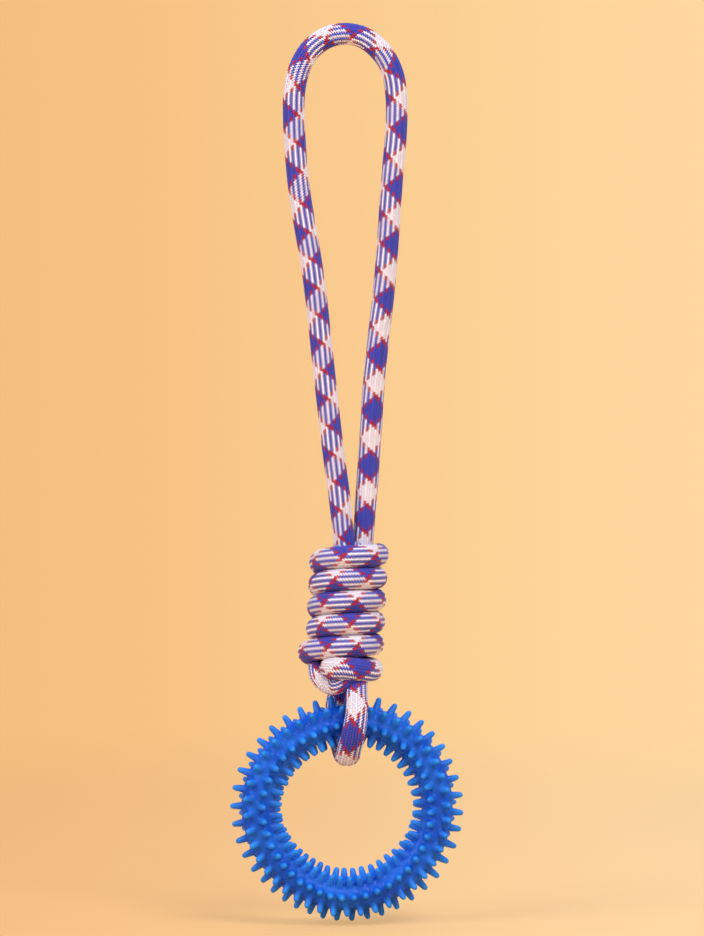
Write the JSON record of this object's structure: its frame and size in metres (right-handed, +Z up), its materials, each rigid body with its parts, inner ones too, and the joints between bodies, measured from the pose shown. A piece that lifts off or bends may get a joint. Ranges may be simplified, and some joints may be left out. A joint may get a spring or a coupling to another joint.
{
  "type": "dog teething ring toy",
  "caption": "Spiked rubber teething ring hung in a small bight of round braided cord, above it a coil knot and a long hand loop for tugging.",
  "frame": {"origin": "inside of the top of the hand loop, where a hand or hook holds the toy", "axes": "+Z up along the hanging toy, -Y towards the viewer of the picture, +X to the right in it"},
  "size_m": [0.1037, 0.0425, 0.4075],
  "materials": {
    "braided_cord": "matt braid of white, blue and red yarns",
    "filler_yarn": "loose pale yarn",
    "melted_end": "smooth melted fibre",
    "ring_rubber": "smooth blue rubber with a soft gloss"
  },
  "bodies": {
    "hand_loop": {"hand_loop_cover": "braided_cord", "hand_loop_core": "filler_yarn"},
    "knot": {"knot_wraps": "braided_cord", "knot_tuck": "braided_cord", "left_strand_cover": "braided_cord", "left_strand_core": "filler_yarn", "right_strand_cover": "braided_cord", "right_strand_core": "filler_yarn", "sealed_end_upper": "melted_end", "sealed_end_lower": "melted_end"},
    "ring_loop": {"ring_loop_cover": "braided_cord", "ring_loop_core": "filler_yarn"},
    "ring": {"teething_ring": "ring_rubber"}
  },
  "joints": [
    {"name": "knot_swing", "type": "hinge", "parent": "hand_loop", "child": "knot", "pos_m": [0.00337, 0.0012, -0.2238], "axis": [0.9159, 0.4015, 0], "range_deg": [-75, 75]},
    {"name": "ring_loop_sway", "type": "hinge", "parent": "knot", "child": "ring_loop", "pos_m": [0.0006, 0, -0.29382], "axis": [-0.3454, 0.9385, 0], "range_deg": [-25, 10]},
    {"name": "ring_turn", "type": "hinge", "parent": "ring_loop", "child": "ring", "pos_m": [0.0006, 0, -0.34649], "axis": [0.1219, -0.9925, 0], "continuous": true}
  ]
}
